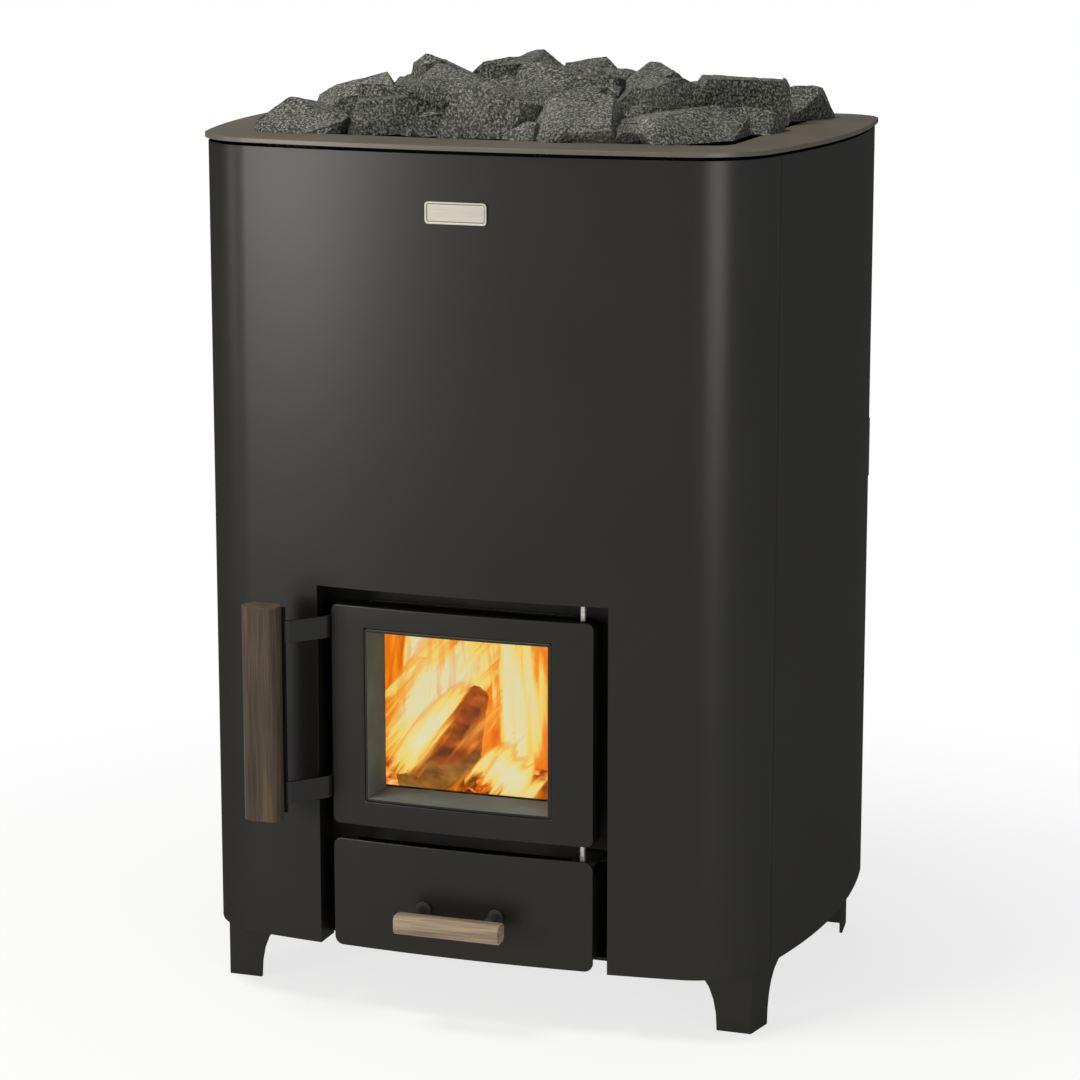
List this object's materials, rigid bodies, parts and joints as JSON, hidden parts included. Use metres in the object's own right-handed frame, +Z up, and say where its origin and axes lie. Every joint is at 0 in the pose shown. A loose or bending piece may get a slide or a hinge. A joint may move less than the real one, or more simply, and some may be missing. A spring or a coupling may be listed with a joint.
{
  "type": "wood-burning sauna stove",
  "caption": "Sauna stove with a bowed sheet-steel casing, heaped stones in a rimmed basket, a glazed hinged fire door with a wooden grip and a sliding ash drawer.",
  "frame": {"origin": "on the floor under the middle of the stove's overall width and depth", "axes": "+Z up, -Y to the front with the door, +X to the right as seen from the front"},
  "size_m": [0.5658, 0.514, 0.8417],
  "materials": {
    "casing_paint": "satin heat-proof paint",
    "black_steel": "matt black heat-proof paint",
    "grate_iron": "raw cast iron",
    "plate_aluminium": "satin",
    "pin_steel": "bright drawn",
    "fire_glass": "clear ceramic glass",
    "rope_seal": "woven glass-fibre rope",
    "door_grip_wood": "heat-treated, unvarnished",
    "drawer_grip_wood": "heat-treated, unvarnished",
    "sauna_stone": "rough broken rock"
  },
  "bodies": {
    "stove": {"front_panel": "casing_paint", "left_side_panel": "casing_paint", "right_side_panel": "casing_paint", "rear_panel": "casing_paint", "top_frame": "casing_paint", "foot_front_left": "casing_paint", "foot_front_right": "casing_paint", "foot_rear_left": "casing_paint", "foot_rear_right": "casing_paint", "base_plate": "black_steel", "stone_basket": "black_steel", "firebox_shell": "black_steel", "firebox_front": "black_steel", "smoke_baffle": "black_steel", "flue_collar": "black_steel", "rear_spacer_left": "black_steel", "rear_spacer_right": "black_steel", "fire_grate": "grate_iron", "nameplate": "plate_aluminium", "hinge_pin": "pin_steel", "stone_01": "sauna_stone", "stone_02": "sauna_stone", "stone_03": "sauna_stone", "stone_04": "sauna_stone", "stone_05": "sauna_stone", "stone_06": "sauna_stone", "stone_07": "sauna_stone", "stone_08": "sauna_stone", "stone_09": "sauna_stone", "stone_10": "sauna_stone", "stone_11": "sauna_stone", "stone_12": "sauna_stone", "stone_13": "sauna_stone", "stone_14": "sauna_stone", "stone_15": "sauna_stone", "stone_16": "sauna_stone", "stone_17": "sauna_stone", "stone_18": "sauna_stone", "stone_19": "sauna_stone", "stone_20": "sauna_stone"},
    "door": {"door_panel": "casing_paint", "door_window_frame": "black_steel", "door_glass": "fire_glass", "door_gasket": "rope_seal", "glass_clip_top": "black_steel", "glass_clip_bottom": "black_steel", "handle_bracket": "casing_paint", "handle_grip": "door_grip_wood"},
    "ash_drawer": {"drawer_front": "casing_paint", "ash_tray": "black_steel", "drawer_standoff_left": "black_steel", "drawer_standoff_right": "black_steel", "drawer_grip": "drawer_grip_wood"}
  },
  "joints": [
    {"name": "door_hinge", "type": "hinge", "parent": "stove", "child": "door", "pos_m": [0.109, -0.19, 0.274], "axis": [0, 0, 1], "range_deg": [0, 120]},
    {"name": "drawer_slide", "type": "slide", "parent": "stove", "child": "ash_drawer", "axis": [0, -1, 0], "range_m": [0, 0.27]}
  ]
}
